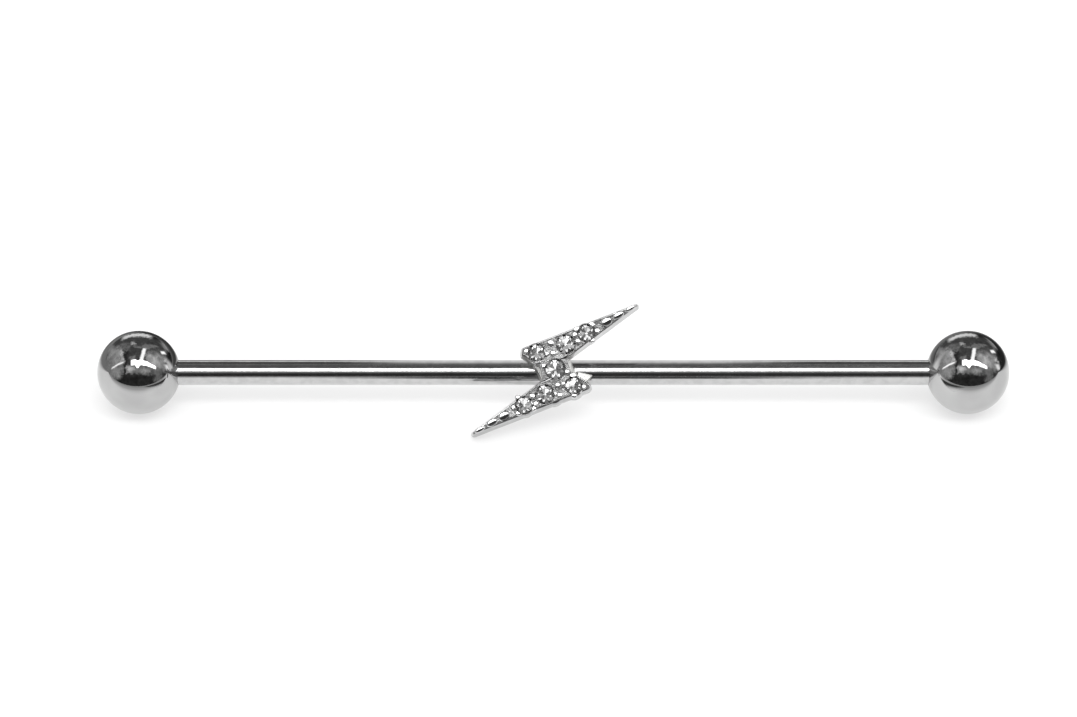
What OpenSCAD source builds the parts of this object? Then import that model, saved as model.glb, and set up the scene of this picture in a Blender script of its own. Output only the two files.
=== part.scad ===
// Industrial barbell for a double ear piercing, in millimetres.
//
// A long straight bar carries a lightning bolt set with seven round clear stones, soldered on its
// middle, and has a ball screwed on a thread at each end.
//
// The barbell is drawn flat: X runs along the bar, Y is up along the bolt's face and Z comes out of
// that face, with the bar's axis on the X axis. as_it_lies() then turns it about the bar until the
// bolt's lower point touches the ground beside the two balls, which is how it rests by itself.
// In that frame +Z is up, the ground is Z = 0, and the origin is under the middle of the barbell.

/* [Bar] */
// Diameter of the bar, 16 gauge
bar_d = 1.2; // [1.0:0.1:1.6]
// Length of bar that shows between the two balls
bar_len = 36; // [28:1:45]
// How far the bar's shoulder goes into the mouth of a ball
shoulder_in = 0.15; // [0.10:0.01:0.18]

/* [Thread] */
// Diameter over the crests of the post's thread
post_d = 1.10; // [0.9:0.01:1.14]
// Depth of the thread's grooves
thread_depth = 0.11; // [0.05:0.01:0.15]
// Distance from one crest to the next
thread_pitch = 0.25; // [0.2:0.05:0.3]
// Length of the threaded post beyond the shoulder
post_len = 2.4; // [1.5:0.1:2.6]

/* [Balls] */
// Diameter of each ball
ball_d = 4.0; // [3.6:0.1:5]
// Clearance round the bar and the post inside a ball
ball_clear = 0.03; // [0.02:0.01:0.05]
// Empty depth left beyond the end of the post
bore_spare = 0.10; // [0.05:0.05:0.3]

/* [Bolt] */
// Distance of the bolt's centre to the right of the bar's middle
bolt_shift = 0.09; // [-1:0.01:1]
// Distance of the bolt's centre above the bar's axis, along its face
bolt_rise = 0.05; // [-0.1:0.01:0.1]
// Height of the bolt's back above the bar's axis
bolt_back = 0.45; // [0.35:0.05:0.5]
// Thickness of the bolt from back to face
bolt_thick = 1.0; // [0.9:0.05:1.3]
// How far each side wall spreads from the face down to the back
bolt_draft = 0.105; // [0.02:0.005:0.12]
// Radius that rounds the corners of the bolt's face
corner_r = 0.09; // [0.04:0.01:0.12]
// Radius of the two points
tip_r = 0.05; // [0.03:0.01:0.06]

/* [Stones] */
// Metal left round each stone in its seat
seat_rim = 0.07; // [0.05:0.01:0.10]
// Gap between a stone and its seat
seat_gap = 0.02; // [0.015:0.005:0.03]
// Depth of a stone's girdle below the bolt's face
girdle_sink = 0.03; // [0.01:0.01:0.06]
// Radius of the bead prongs that hold the stones
prong_r = 0.11; // [0.08:0.01:0.13]

/* [Hidden] */
$fn = 48;

// A sliver by which joined shapes run into each other
lap = 0.01;

// Radii and lengths that follow from the sizes above
bar_r = bar_d / 2;
post_r = post_d / 2;
ball_r = ball_d / 2;
ball_x = bar_len / 2 + sqrt(ball_r * ball_r - bar_r * bar_r);
shoulder_x = bar_len / 2 + shoulder_in;
post_end_x = shoulder_x + post_len;
root_r = post_r - thread_depth;
thread_flank = thread_pitch / 4;
crest_crown = 0.01;
end_chamfer = 0.06;
bolt_face = bolt_back + bolt_thick;

// The bolt is the same turned half round, so each table below holds one half of it.
// Corners of the upper limb's face, from the bolt's centre: [x, y, radius]
upper_limb = [
  [ 3.88, 3.06, tip_r],
  [-1.47, 0.93, corner_r],
  [-1.50, 0.73, corner_r],
  [-0.66, 0.16, corner_r],
  [ 0.70, 0.74, corner_r]
];
// Corners of one side of the waist's face, and of the solder pad behind it: [x, y]
waist_side = [[-0.70, 0.14], [-0.58, -0.52]];
pad_foot = [[-1.52, 0.58], [-0.76, -0.58]];
pad_top = [[-1.10, 0.42], [-0.66, -0.46]];
pad_low_z = 0.25;
pad_high_z = 1.25;

// Stones from the upper point down to the middle: [x, y, diameter]
half_stones = [
  [ 1.49, 1.74, 0.85],
  [ 0.50, 1.20, 0.93],
  [-0.88, 0.79, 0.85]
];
middle_stone = [0, 0, 1.00];
turned_stones = [for (i = [len(half_stones) - 1 : -1 : 0]) half_turn(half_stones[i])];
stones = concat(half_stones, [middle_stone], turned_stones);

// Proportions of a round cut stone, as shares of its diameter
table_share = 0.57;
crown_share = 0.15;
girdle_share = 0.03;
pavilion_share = 0.42;
// The crown's points between table and girdle, as shares of their mean radius and of the crown
star_reach = 1.06;
star_height = 0.46;

// Bead prongs on the upper half of the face: [x, y]
half_prongs = [
  [ 2.00, 1.82], [ 1.76, 2.21], [ 1.78, 1.37], [ 1.00, 2.00],
  [ 1.08, 1.31], [ 0.93, 1.65], [-0.22, 1.25], [-0.42, 0.74],
  [-0.11, 0.76], [-0.84, 0.31], [-0.54, 0.15], [-1.38, 0.86],
  [-1.24, 1.07]
];

// Domes on the upper point, each longer than wide: [x, y, length, radius]
half_domes = [
  [2.45, 2.29, 0.62, 0.20],
  [3.01, 2.58, 0.56, 0.15],
  [3.62, 2.93, 0.62, 0.10]
];
dome_turn = atan2(half_domes[2].y - half_domes[0].y, half_domes[2].x - half_domes[0].x);

// The film of solder on the bar shows to solder_reach on both sides of the bolt's centre.
solder_reach = 1.90;
solder_height = 0.03;

// Resting: the lower point's back edge reaches down the face by tip_reach, and touches the
// ground when the barbell has turned about the bar by lie_turn from lying with its face up.
tip_reach = upper_limb[0].y + tip_r + bolt_draft - bolt_rise;
lie_turn = asin(ball_r / norm([tip_reach, bolt_back])) + atan(bolt_back / tip_reach);
lowest_front_y = -(tip_reach - bolt_draft) * cos(lie_turn) - bolt_face * sin(lie_turn);
bar_y = -(lowest_front_y + ball_r) / 2;

function half_turn(row) = [-row[0], -row[1], row[2]];

// Puts what is drawn flat where it rests on the ground.
module as_it_lies() {
  translate([0, bar_y, ball_r]) rotate([lie_turn, 0, 0]) children();
}

// Draws its children at the bolt's centre.
module at_bolt() {
  translate([bolt_shift, bolt_rise, 0]) children();
}

// Draws its children once, and once more turned half round in the face's plane.
module both_halves() {
  children();
  rotate([0, 0, 180]) children();
}

module rod_along_x(x_start, x_end, r) {
  translate([x_start, 0, 0]) rotate([0, 90, 0]) cylinder(r = r, h = x_end - x_start);
}

// The threaded post at the right end: a relief neck, rings at the thread's pitch with sixty degree
// flanks and slightly crowned crests, and a chamfered end.
module threaded_post() {
  neck = thread_pitch;
  turns = floor((post_len - neck) / thread_pitch - 0.5);
  outline = concat(
    [[0, -lap], [root_r, -lap]],
    [for (i = [0 : turns - 1]) let (start = neck + i * thread_pitch) each [
      [root_r, start],
      [post_r - crest_crown, start + thread_flank],
      [post_r, start + thread_flank * 1.5],
      [post_r - crest_crown, start + thread_flank * 2],
      [root_r, start + thread_flank * 3]
    ]],
    [[root_r, post_len - end_chamfer], [root_r - end_chamfer, post_len], [0, post_len]]
  );
  translate([shoulder_x, 0, 0]) rotate([0, 90, 0]) rotate_extrude() polygon(outline);
}

// Solder drawn along the bar, thickest under the bolt's centre and thinning out on both sides.
module solder_film() {
  translate([bolt_shift, 0, 0]) rotate([0, 90, 0])
    rotate_extrude()
      polygon([
        [0, -2 * solder_reach],
        [bar_r - solder_height, -2 * solder_reach],
        [bar_r + solder_height, 0],
        [bar_r - solder_height, 2 * solder_reach],
        [0, 2 * solder_reach]
      ]);
}

module bar() {
  rod_along_x(-shoulder_x, shoulder_x, bar_r);
  solder_film();
  threaded_post();
  mirror([1, 0, 0]) threaded_post();
}

// Thin discs at the corners of an outline, at the height z, which a hull then joins.
module corners_at(z, corners, spread) {
  for (c = corners) translate([c[0], c[1], z]) cylinder(r = c[2] + spread, h = lap, $fn = 24);
}

// One limb of the bolt, with side walls that spread towards the back.
module limb() {
  hull() {
    corners_at(bolt_back, upper_limb, bolt_draft);
    corners_at(bolt_face - lap, upper_limb, 0);
  }
}

module four_corners_at(z, side) {
  translate([0, 0, z])
    linear_extrude(lap) polygon([side[0], side[1], -side[0], -side[1]]);
}

// The narrow waist between the two limbs, and the pad of solder that joins it to the bar.
module waist() {
  hull() {
    four_corners_at(bolt_back, waist_side * (1 + bolt_draft));
    four_corners_at(bolt_face - lap, waist_side);
  }
  hull() {
    four_corners_at(pad_low_z, pad_foot);
    four_corners_at(pad_high_z - lap, pad_top);
  }
}

// The wall of metal round a stone, which makes the bolt's edge bulge a little.
module seat_wall(stone) {
  r = stone[2] / 2 + seat_rim;
  translate([stone.x, stone.y, bolt_back + lap])
    cylinder(r1 = r + bolt_draft, r2 = r, h = bolt_thick - lap);
}

// The space that a stone takes, grown by the gap round it.
module seat_space(stone) {
  d = stone[2];
  girdle_r = d / 2 + seat_gap;
  table_r = d * table_share / 2 + seat_gap;
  translate([stone.x, stone.y, bolt_face - girdle_sink])
    rotate_extrude()
      polygon([
        [0, -d * (girdle_share + pavilion_share) - seat_gap * 1.5],
        [girdle_r, -d * girdle_share - seat_gap / 2],
        [girdle_r, seat_gap / 2],
        [table_r, d * crown_share + seat_gap],
        [0, d * crown_share + seat_gap]
      ]);
}

module prong(place) {
  translate([place.x, place.y, bolt_face]) sphere(r = prong_r);
}

// A dome shaped like half a lemon, lying along the limb.
module dome(row) {
  half_length = row[2] / 2;
  r = row[3];
  arc_r = (r * r + half_length * half_length) / (2 * r);
  translate([row.x, row.y, bolt_face])
    rotate([0, 90, dome_turn])
      rotate_extrude()
        intersection() {
          translate([r - arc_r, 0]) circle(r = arc_r);
          translate([0, -half_length]) square([r, half_length * 2]);
        }
}

module bolt_metal() {
  both_halves() {
    limb();
    for (place = half_prongs) prong(place);
    for (row = half_domes) dome(row);
  }
  waist();
  for (stone = stones) seat_wall(stone);
}

module bar_and_bolt() {
  color("silver") as_it_lies() {
    difference() {
      union() {
        bar();
        at_bolt() bolt_metal();
      }
      at_bolt() for (stone = stones) seat_space(stone);
    }
  }
}

// A ball with a blind hole for the post and a shallow mouth for the bar's shoulder.
module ball(side) {
  mouth_x = bar_len / 2 - ball_r;
  floor_x = shoulder_x + ball_clear;
  color("gainsboro") as_it_lies() mirror([side < 0 ? 1 : 0, 0, 0])
    difference() {
      translate([ball_x, 0, 0]) rotate([0, 90, 0]) sphere(r = ball_r);
      rod_along_x(mouth_x, floor_x, bar_r + ball_clear);
      rod_along_x(floor_x - lap, post_end_x + bore_spare, post_r + ball_clear);
    }
}

// A round stone: eight sided table, sixteen sided girdle, and a pointed pavilion.
// Rings from the table down: [radius, height, number of corners, turn]
module cut_stone(d) {
  table = ring(d * table_share / 2, d * crown_share, 8, 0);
  crown = ring(d * (table_share + 1) / 4 * star_reach, d * crown_share * star_height, 8, 22.5);
  girdle_top = ring(d / 2, 0, 16, 0);
  girdle_low = ring(d / 2, -d * girdle_share, 16, 0);
  culet = [[0, 0, -d * (girdle_share + pavilion_share)]];
  first_crown = 8;
  first_top = 16;
  first_low = 32;
  tip = 48;
  polyhedron(
    points = concat(table, crown, girdle_top, girdle_low, culet),
    faces = concat(
      [[for (i = [7 : -1 : 0]) i]],
      [for (i = [0 : 7]) let (j = (i + 1) % 8) each [
        [i, j, first_crown + i],
        [j, first_crown + j, first_top + 2 * j],
        [j, first_top + 2 * j, first_crown + i],
        [first_crown + i, first_top + 2 * i + 1, first_top + 2 * i],
        [first_crown + i, first_top + 2 * j, first_top + 2 * i + 1]
      ]],
      [for (i = [0 : 15]) let (j = (i + 1) % 16) each [
        [first_top + i, first_top + j, first_low + j],
        [first_top + i, first_low + j, first_low + i],
        [first_low + i, first_low + j, tip]
      ]]
    )
  );
}

function ring(r, z, count, turn) =
  [for (i = [0 : count - 1]) [r * cos(turn + i * 360 / count), r * sin(turn + i * 360 / count), z]];

module stone(number) {
  row = stones[number - 1];
  color("azure") as_it_lies() at_bolt()
    translate([row.x, row.y, bolt_face - girdle_sink]) cut_stone(row[2]);
}

bar_and_bolt();
ball(-1);  // ball_left
ball(1);  // ball_right
for (number = [1 : len(stones)])
  stone(number);
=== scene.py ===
"""Industrial barbell with a stone-set lightning bolt, dressed and lit for its picture."""
from __future__ import annotations

import logging
import math
from dataclasses import dataclass, replace
from enum import Enum, IntEnum
from typing import Callable, Sequence

import bmesh
import bpy
import numpy as np
from mathutils import Matrix, Vector


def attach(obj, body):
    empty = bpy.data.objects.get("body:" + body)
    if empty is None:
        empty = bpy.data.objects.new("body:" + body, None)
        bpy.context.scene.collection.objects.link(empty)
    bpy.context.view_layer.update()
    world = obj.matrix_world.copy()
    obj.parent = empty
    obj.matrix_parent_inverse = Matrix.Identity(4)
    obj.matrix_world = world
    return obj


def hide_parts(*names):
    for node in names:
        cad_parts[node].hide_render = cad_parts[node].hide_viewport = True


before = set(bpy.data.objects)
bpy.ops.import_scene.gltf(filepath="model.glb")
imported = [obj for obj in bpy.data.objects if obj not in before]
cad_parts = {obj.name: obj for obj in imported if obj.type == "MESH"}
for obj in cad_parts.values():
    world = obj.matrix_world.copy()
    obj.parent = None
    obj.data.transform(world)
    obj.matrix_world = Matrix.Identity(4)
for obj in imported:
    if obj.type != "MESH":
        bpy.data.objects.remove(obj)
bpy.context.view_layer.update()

MM = 0.001
# A rounded edge passes through a point that lies this share of its size in from both of its faces.
ROUND = 0.3
# Heights that differ by less than this, in millimetres, count as the same when a finish is chosen.
CLOSE = 0.002
LOG = logging.getLogger("barbell")

Place = tuple[float, float]
Level = tuple[float, float]
Tone = tuple[float, float, float]
Triple = tuple[float, float, float]
Edges = tuple[float, float, float, float]
Station = tuple[float, "float | np.ndarray"]
Socket = bpy.types.NodeSocket


class Body(Enum):
    """The bodies that the barbell's pieces ride on."""

    BAR = "bar"
    LEFT_BALL = "left_ball"
    RIGHT_BALL = "right_ball"


class Stuff(Enum):
    """The record's material slots."""

    STEEL = "polished_steel"
    STONE = "clear_stone"


class Side(Enum):
    """An end of the bar."""

    LEFT = "left"
    RIGHT = "right"


class Cut(Enum):
    """What the carver does with the next shells."""

    JOIN = "UNION"
    REMOVE = "DIFFERENCE"


class Skin(IntEnum):
    """The finishes of the setting, in the order of its materials."""

    CAST = 0
    SOLDER = 1
    SEAT = 2
    RECESS = 3
    BEAD_PAINTED_HIGHLIGHT = 4


# Shapes


@dataclass
class Shell:
    """A closed skin in millimetres, drawn flat: X along the bar, Z out of the bolt's face.

    Args:
        points: One row of x, y, z for each corner.
        faces: Corner numbers of each face.
    """

    points: np.ndarray
    faces: list[tuple[int, ...]]

    def moved(self, x: float, y: float, z: float) -> Shell:
        """The same shell, shifted."""
        return Shell(self.points + np.array([x, y, z]), self.faces)

    def turned(self, matrix: Matrix) -> Shell:
        """The same shell, put through a 3x3 turn or scale."""
        return Shell(self.points @ np.array(matrix.to_3x3()).T, self.faces)

    def half_turned(self) -> Shell:
        """The same shell, turned half round in the plane of the bolt's face."""
        return self.turned(Matrix.Rotation(math.pi, 3, "Z"))

    @staticmethod
    def together(shells: Sequence[Shell]) -> Shell:
        """Several shells that don't touch, as one.

        Args:
            shells: The shells to gather.

        Returns:
            One shell that holds them all.
        """
        faces: list[tuple[int, ...]] = []
        count = 0
        for shell in shells:
            faces += [tuple(i + count for i in face) for face in shell.faces]
            count += len(shell.points)
        return Shell(np.vstack([shell.points for shell in shells]), faces)

    def mesh(self, name: str) -> bpy.types.Mesh:
        """A mesh of the shell, its faces looking outwards.

        Args:
            name: Name of the mesh.

        Returns:
            The mesh, still in millimetres.
        """
        mesh = bpy.data.meshes.new(name)
        mesh.from_pydata(self.points.tolist(), [], self.faces)
        work = bmesh.new()
        work.from_mesh(mesh)
        bmesh.ops.recalc_face_normals(work, faces=work.faces)
        work.to_mesh(mesh)
        work.free()
        return mesh


def loft(rings: Sequence[np.ndarray]) -> Shell:
    """Joins rings of equally many points with walls, and closes both ends.

    Args:
        rings: The rings from one end to the other, each an array of x, y, z rows.

    Returns:
        The closed shell.
    """
    count = len(rings[0])
    faces: list[tuple[int, ...]] = [tuple(range(count))]
    for level in range(len(rings) - 1):
        low, high = level * count, (level + 1) * count
        for i in range(count):
            j = (i + 1) % count
            faces.append((low + i, low + j, high + j, high + i))
    last = (len(rings) - 1) * count
    faces.append(tuple(range(last + count - 1, last - 1, -1)))
    return Shell(np.vstack(rings), faces)


def lathe(stations: Sequence[Station], segments: int) -> Shell:
    """Spins stations about the X axis.

    Args:
        stations: Pairs of x and radius, where a radius may be one number or one for each segment. A
            radius of nought at either end closes the shell there with a point.
        segments: Number of segments round the axis.

    Returns:
        The closed shell.
    """
    angles = np.arange(segments) * 2 * math.pi / segments
    cos, sin = np.cos(angles), np.sin(angles)
    points: list[np.ndarray] = []
    faces: list[tuple[int, ...]] = []
    starts: list[tuple[int, int]] = []
    count = 0
    for x, radius in stations:
        if np.isscalar(radius) and radius == 0:
            points.append(np.array([[x, 0.0, 0.0]]))
            starts.append((count, 1))
        else:
            rim = np.broadcast_to(radius, segments)
            points.append(np.stack([np.full(segments, x), rim * cos, rim * sin], axis=1))
            starts.append((count, segments))
        count += starts[-1][1]
    for (a, size_a), (b, size_b) in zip(starts, starts[1:]):
        for i in range(segments):
            j = (i + 1) % segments
            if size_a == 1:
                faces.append((a, b + i, b + j))
            elif size_b == 1:
                faces.append((a + j, a + i, b))
            else:
                faces.append((a + j, a + i, b + i, b + j))
    return Shell(np.vstack(points), faces)


@dataclass(frozen=True)
class Corner:
    """A rounded corner of an outline, by the centre and radius of its round."""

    x: float
    y: float
    r: float


@dataclass(frozen=True)
class Outline:
    """A convex outline with rounded corners, listed anticlockwise.

    Args:
        corners: Its corners.
        steps: Number of steps in the round of each corner.
        least_r: Smallest radius that a corner may shrink to.
    """

    corners: tuple[Corner, ...]
    steps: int = 8
    least_r: float = 0.002

    def ring(self, z: float, spread: float) -> np.ndarray:
        """The outline's points at a height, grown by a spread.

        Args:
            z: Height above the bar's axis.
            spread: How far the outline is grown, or shrunk where it is below nought.

        Returns:
            An array of x, y, z rows.
        """
        count = len(self.corners)
        normals = [self._normal(self.corners[i], self.corners[(i + 1) % count]) for i in range(count)]
        rows = []
        for i, corner in enumerate(self.corners):
            start, end = normals[i - 1], normals[i]
            sweep = (end - start) % (2 * math.pi)
            for k in range(self.steps + 1):
                angle = start + sweep * k / self.steps
                reach = max(corner.r + spread, self.least_r)
                rows.append((corner.x + reach * math.cos(angle), corner.y + reach * math.sin(angle), z))
        return np.array(rows)

    def plate(self, levels: Sequence[Level]) -> Shell:
        """A plate of this outline through pairs of z and spread."""
        return loft([self.ring(z, spread) for z, spread in levels])

    @staticmethod
    def _normal(a: Corner, b: Corner) -> float:
        """The direction in which the edge from one corner to the next looks, in radians."""
        dx, dy = b.x - a.x, b.y - a.y
        length = math.hypot(dx, dy)
        lean = (a.r - b.r) / length
        level = math.sqrt(1 - lean * lean)
        return math.atan2((-dx * level + dy * lean) / length, (dy * level + dx * lean) / length)


class Carver:
    """Joins shells to a working piece and cuts others out of it."""

    def __init__(self, first: Shell) -> None:
        """Starts from a shell."""
        self._work = bpy.data.objects.new("work", first.mesh("work"))
        bpy.context.scene.collection.objects.link(self._work)

    def take(self, cut: Cut, shells: Sequence[Shell]) -> None:
        """Joins shells to the piece or removes them from it, one after the other.

        Args:
            cut: Whether to join or to remove.
            shells: The shells to use.
        """
        for shell in shells:
            tool = bpy.data.objects.new("tool", shell.mesh("tool"))
            bpy.context.scene.collection.objects.link(tool)
            step = self._work.modifiers.new("step", "BOOLEAN")
            step.operation = cut.value
            step.solver = "MANIFOLD"
            step.object = tool
            bpy.context.view_layer.update()
            graph = bpy.context.evaluated_depsgraph_get()
            done = bpy.data.meshes.new_from_object(self._work.evaluated_get(graph))
            self._work.modifiers.remove(step)
            old, self._work.data = self._work.data, done
            spent = tool.data
            bpy.data.objects.remove(tool)
            for mesh in (old, spent):
                bpy.data.meshes.remove(mesh)

    def finish(self, name: str) -> bpy.types.Mesh:
        """Hands over the carved mesh, in millimetres.

        Args:
            name: Name of the mesh.

        Returns:
            The mesh.
        """
        mesh = self._work.data
        mesh.name = name
        bpy.data.objects.remove(self._work)
        return mesh


# Finishes


def grey(value: float) -> Tone:
    """A neutral colour of one brightness."""
    return (value, value, value)


class NodeSheet:
    """A short way to lay out a node tree."""

    def __init__(self, tree: bpy.types.NodeTree) -> None:
        """Works on a tree."""
        self.tree = tree

    def add(self, kind: str, **inputs: object) -> bpy.types.Node:
        """Adds a node and sets or links its inputs.

        Args:
            kind: Name of the node type.
            **inputs: Values or output sockets, by input name with spaces as underscores.

        Returns:
            The new node.
        """
        node = self.tree.nodes.new(kind)
        for name, value in inputs.items():
            self.put(node.inputs[name.replace("_", " ")], value)
        return node

    def put(self, socket: Socket, value: object) -> None:
        """Links an output socket into a socket, or sets a plain value."""
        if isinstance(value, Socket):
            self.tree.links.new(value, socket)
        else:
            socket.default_value = value

    def fill(self, node: bpy.types.Node, values: Sequence[object]) -> bpy.types.Node:
        """Sets or links a node's first inputs in order."""
        for socket, value in zip(node.inputs, values):
            self.put(socket, value)
        return node

    def math(self, operation: str, *values: object) -> Socket:
        """A math node's result.

        Args:
            operation: Name of the operation.
            *values: Numbers or output sockets.

        Returns:
            The result's socket.
        """
        node = self.tree.nodes.new("ShaderNodeMath")
        node.operation = operation
        return self.fill(node, values).outputs[0]

    def total(self, first: object, *others: object) -> Socket:
        """The sum of all the values."""
        for other in others:
            first = self.math("ADD", first, other)
        return first

    def product(self, first: object, *others: object) -> Socket:
        """The product of all the values."""
        for other in others:
            first = self.math("MULTIPLY", first, other)
        return first

    def ramp(self, value: object, low: float, high: float) -> Socket:
        """Nought below low, one above high, and a smooth step between; low may be the larger."""
        node = self.tree.nodes.new("ShaderNodeMapRange")
        node.interpolation_type = "SMOOTHSTEP"
        return self.fill(node, (value, low, high, 0.0, 1.0)).outputs[0]

    def rescale(self, value: object, span: Place, result: Place) -> Socket:
        """Stretches the values of one span over another, and holds them at its ends."""
        node = self.tree.nodes.new("ShaderNodeMapRange")
        return self.fill(node, (value, *span, *result)).outputs[0]

    def window(self, value: object, start: float, end: float, soft: float) -> Socket:
        """One between start and end, nought outside, with soft edges."""
        rise = self.ramp(value, start - soft, start + soft)
        fall = self.ramp(value, end + soft, end - soft)
        return self.product(rise, fall)

    def mix(self, below: object, above: object, mask: object) -> Socket:
        """Lays one brightness over another by a mask."""
        node = self.tree.nodes.new("ShaderNodeMix")
        for number, value in ((0, mask), (2, below), (3, above)):
            self.put(node.inputs[number], value)
        return node.outputs[0]

    def tint(self, below: Tone, above: Tone, mask: object) -> Socket:
        """Lays one colour over another by a mask."""
        node = self.tree.nodes.new("ShaderNodeMix")
        node.data_type = "RGBA"
        for number, value in ((0, mask), (6, (*below, 1.0)), (7, (*above, 1.0))):
            self.put(node.inputs[number], value)
        return node.outputs[2]

    def blend(self, below: Socket, above: Socket, mask: Socket) -> Socket:
        """Lays one shader over another by a mask."""
        node = self.tree.nodes.new("ShaderNodeMixShader")
        return self.fill(node, (mask, below, above)).outputs[0]

    def place(self) -> Socket:
        """The place on the object, in metres."""
        return self.add("ShaderNodeTexCoord").outputs["Object"]

    def noise(self, where: Socket, scale: float, detail: float, roughness: float = 0.5) -> bpy.types.Node:
        """A noise texture."""
        return self.add("ShaderNodeTexNoise", Vector=where, Scale=scale, Detail=detail, Roughness=roughness)

    def vector(self, operation: str, *values: object) -> bpy.types.Node:
        """A vector math node, filled with vectors or output sockets."""
        node = self.tree.nodes.new("ShaderNodeVectorMath")
        node.operation = operation
        return self.fill(node, values)


def new_material(name: str) -> tuple[bpy.types.Material, NodeSheet]:
    """A material with an empty node tree.

    Args:
        name: Name of the material.

    Returns:
        The material and its sheet of nodes.
    """
    material = bpy.data.materials.new(name)
    material.use_nodes = True
    material.node_tree.nodes.clear()
    return material, NodeSheet(material.node_tree)


def principled(sheet: NodeSheet, **inputs: object) -> None:
    """Ends a sheet in a principled shader.

    Args:
        sheet: The sheet of nodes.
        **inputs: Values or output sockets, by input name with spaces as underscores.
    """
    shader = sheet.add("ShaderNodeBsdfPrincipled", **inputs)
    sheet.add("ShaderNodeOutputMaterial", Surface=shader.outputs[0])


@dataclass(frozen=True)
class MetalFinish:
    """A metal surface with a fine grain of polish.

    Args:
        name: Name of the material.
        tone: Linear colour of the metal.
        shade: Colour where the tone is darkest.
        polish: Roughness where the polish is best and where it is worst.
        grain_mm: Size of the grain of the polish.
        ripple: Strength of the fine unevenness.
        relief_mm: Height of the fine unevenness.
        drawn: How many times longer the grain is along the bar than across it.
        metallic: One for bare polished metal, less where a frosted skin scatters light.
        cloud: How many grains wide the clouds of its tone are.
        grain_span: Values of the grain over which the polish goes from best to worst.
        cloud_span: Values of the clouds over which the colour goes from shade to tone.
    """

    name: str
    tone: Tone
    shade: Tone
    polish: Place
    grain_mm: float
    ripple: float
    relief_mm: float = 0.004
    drawn: float = 1.0
    metallic: float = 1.0
    cloud: float = 9.0
    grain_span: Place = (0.35, 0.70)
    cloud_span: Place = (0.35, 0.65)

    def material(self) -> bpy.types.Material:
        """Builds the node material.

        Returns:
            The material.
        """
        material, sheet = new_material(self.name)
        where = sheet.place()
        per_m = 1.0 / (self.grain_mm * MM)
        clouds_per_m = per_m / self.cloud
        spot = sheet.add("ShaderNodeMapping", Vector=where, Scale=(per_m / self.drawn, per_m, per_m))
        grain = sheet.noise(spot.outputs[0], 1.0, detail=4.0, roughness=0.6).outputs[0]
        wide = sheet.add("ShaderNodeMapping", Vector=where, Scale=(clouds_per_m, clouds_per_m, clouds_per_m))
        cloud = sheet.noise(wide.outputs[0], 1.0, detail=2.0).outputs[0]
        bump = sheet.add("ShaderNodeBump", Strength=self.ripple, Distance=self.relief_mm * MM, Height=grain)
        principled(
            sheet,
            Metallic=self.metallic,
            Roughness=sheet.rescale(grain, self.grain_span, self.polish),
            Base_Color=sheet.tint(self.shade, self.tone, sheet.ramp(cloud, *self.cloud_span)),
            Normal=bump.outputs[0],
        )
        return material


@dataclass(frozen=True)
class StoneFinish:
    """A clear cut stone with the faintest haze in it.

    Args:
        name: Name of the material.
        ior: Its refraction.
        clear: Its colour where it is clear.
        haze: Its colour where it is hazy.
        clouds_per_m: How close together the clouds of haze are.
        haze_span: Values of the clouds over which it goes from clear to hazy.
    """

    name: str
    ior: float
    clear: Tone
    haze: Tone
    clouds_per_m: float = 2500.0
    haze_span: Place = (0.50, 0.75)

    def material(self) -> bpy.types.Material:
        """Builds the node material.

        Returns:
            The material.
        """
        material, sheet = new_material(self.name)
        cloud = sheet.noise(sheet.place(), self.clouds_per_m, detail=3.0).outputs[0]
        principled(
            sheet,
            Transmission_Weight=1.0,
            IOR=self.ior,
            Roughness=0.0,
            Base_Color=sheet.tint(self.clear, self.haze, sheet.ramp(cloud, *self.haze_span)),
        )
        return material


@dataclass(frozen=True)
class FloorFinish:
    """A pale, dull table top that is lit a little from below.

    Args:
        name: Name of the material.
        tone: Its linear colour.
        glow: How much light comes through it from below.
        shine: How much it shines.
        polish: Lowest and highest roughness.
        clouds_per_m: How close together its duller places are.
    """

    name: str
    tone: Tone
    glow: float
    shine: float = 0.05
    polish: Place = (0.45, 0.60)
    clouds_per_m: float = 60.0

    def material(self) -> bpy.types.Material:
        """Builds the node material.

        Returns:
            The material.
        """
        material, sheet = new_material(self.name)
        cloud = sheet.noise(sheet.place(), self.clouds_per_m, detail=3.0).outputs[0]
        principled(
            sheet,
            Roughness=sheet.rescale(cloud, (0.0, 1.0), self.polish),
            Specular_IOR_Level=self.shine,
            Base_Color=(*self.tone, 1.0),
            Emission_Color=(*grey(1.0), 1.0),
            Emission_Strength=self.glow,
        )
        return material


@dataclass(frozen=True)
class FlagFinish:
    """A glowing card whose edges fade out and whose brightness changes along it: a painted reflection.

    Args:
        name: Name of the material.
        half: Its half sizes in metres.
        fade: Width of the fade at its sides and at its front and back, in metres.
        tones: Pairs of a place along it, from its own middle in metres, and the brightness there.
    """

    name: str
    half: Place
    fade: Place
    tones: tuple[Place, ...]

    def material(self) -> bpy.types.Material:
        """Builds the node material.

        Returns:
            The material.
        """
        material, sheet = new_material(self.name)
        parts = sheet.add("ShaderNodeSeparateXYZ", Vector=sheet.place()).outputs
        masks = [
            sheet.window(parts[axis], fade / 2 - size, size - fade / 2, fade / 2)
            for axis, (size, fade) in enumerate(zip(self.half, self.fade))
        ]
        tone = self.tones[0][1]
        for (before, _), (place, value) in zip(self.tones, self.tones[1:]):
            tone = sheet.mix(tone, value, sheet.ramp(parts[0], before, place))
        # Painted reflection: the card glows with the brightness of its tones.
        glow = sheet.add("ShaderNodeEmission", Color=(*grey(1.0), 1.0), Strength=tone).outputs[0]
        clear = sheet.add("ShaderNodeBsdfTransparent").outputs[0]
        sheet.add("ShaderNodeOutputMaterial", Surface=sheet.blend(clear, glow, sheet.product(*masks)))
        return material


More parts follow.
